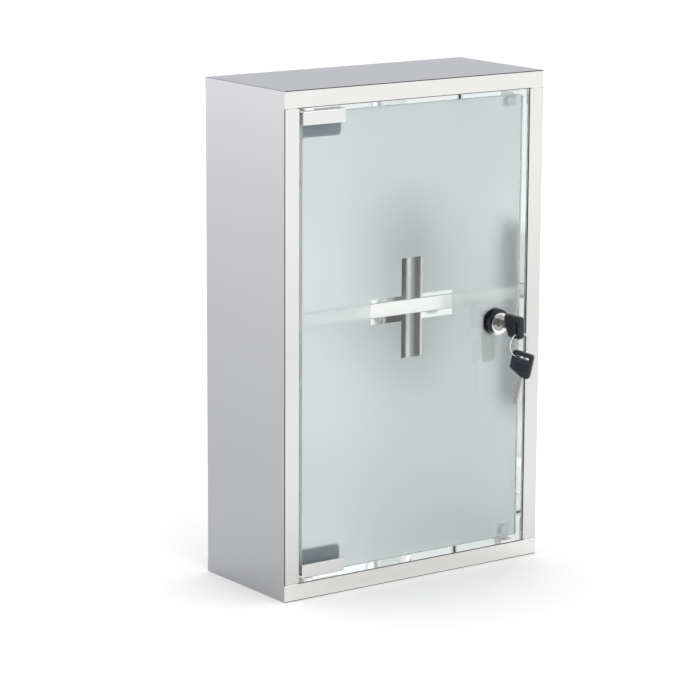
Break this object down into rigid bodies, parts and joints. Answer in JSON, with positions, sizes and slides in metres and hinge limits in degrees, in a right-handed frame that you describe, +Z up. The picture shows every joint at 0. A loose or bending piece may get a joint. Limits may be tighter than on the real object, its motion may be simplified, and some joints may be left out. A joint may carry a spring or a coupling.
{
  "type": "medicine cabinet",
  "caption": "Wall-mounted steel medicine cabinet with a frosted glass door, clear cross, inner shelf, pivot hinges, cam lock and keys on a ring.",
  "frame": {"origin": "centre of the footprint of the cabinet's base, on its underside", "axes": "+X to the cabinet's right seen from the front, +Y to the back (the wall side), +Z up; the door faces -Y"},
  "size_m": [0.25, 0.1468, 0.4],
  "materials": {
    "satin_steel": "satin stainless sheet",
    "polished_sheet": "polished stainless sheet",
    "stop_steel": "plain",
    "black_rubber": "matt",
    "white_nylon": "matt nylon",
    "polished_steel": "polished",
    "clear_pad": "soft translucent",
    "plain_steel": "plain",
    "pin_steel": "ground",
    "frosted_glass": "frosted with a clear cross, green tinted edges",
    "screw_steel": "zinc plated",
    "chrome": "bright chrome",
    "nut_chrome": "plated",
    "plug_chrome": "dark plated",
    "cam_steel": "zinc plated",
    "nickel": "nickel plated",
    "black_plastic": "moulded, fine grain",
    "ring_wire": "plated wire"
  },
  "bodies": {
    "cabinet": {"left_side_panel": "satin_steel", "right_side_panel": "satin_steel", "top_panel": "satin_steel", "bottom_panel": "satin_steel", "back_panel": "satin_steel", "shelf": "polished_sheet", "left_shelf_support": "polished_sheet", "right_shelf_support": "polished_sheet", "upper_door_stop": "stop_steel", "lower_door_stop": "stop_steel", "door_stop_pads": "black_rubber", "upper_pivot_bush": "white_nylon", "lower_pivot_bush": "white_nylon"},
    "door": {"glass_door": "frosted_glass", "upper_hinge_clamp": "polished_steel", "upper_front_pad": "clear_pad", "upper_rear_pad": "clear_pad", "upper_pressure_plate": "plain_steel", "upper_pivot_pin": "pin_steel", "lower_hinge_clamp": "polished_steel", "lower_front_pad": "clear_pad", "lower_rear_pad": "clear_pad", "lower_pressure_plate": "plain_steel", "lower_pivot_pin": "pin_steel", "hinge_screws": "screw_steel", "lock_housing": "chrome", "lock_gasket": "black_rubber", "lock_washer": "black_rubber", "lock_nut": "nut_chrome"},
    "lock_plug": {"lock_plug": "plug_chrome", "lock_cam": "cam_steel", "cam_screw": "screw_steel"},
    "key": {"key_blade": "nickel", "key_head": "black_plastic"},
    "key_ring": {"key_ring": "ring_wire"},
    "spare_key": {"spare_key_blade": "nickel", "spare_key_head": "black_plastic"}
  },
  "joints": [
    {"name": "door_hinge", "type": "hinge", "parent": "cabinet", "child": "door", "pos_m": [-0.101, -0.0495, 0.2], "axis": [0, 0, -1], "range_deg": [0, 110]},
    {"name": "lock_turn", "type": "hinge", "parent": "door", "child": "lock_plug", "pos_m": [0.0835, -0.052, 0.199], "axis": [0, -1, 0], "range_deg": [0, 90]},
    {"name": "key_pull", "type": "slide", "parent": "lock_plug", "child": "key", "axis": [0, -1, 0], "range_m": [0, 0.02]},
    {"name": "ring_swing", "type": "hinge", "parent": "key", "child": "key_ring", "pos_m": [0.0847, -0.08, 0.1946], "axis": [-1, 0, 0], "range_deg": [-8, 45]},
    {"name": "spare_key_swing", "type": "hinge", "parent": "key_ring", "child": "spare_key", "pos_m": [0.0847, -0.08, 0.1756], "axis": [-1, 0, 0], "range_deg": [-8, 40]}
  ]
}
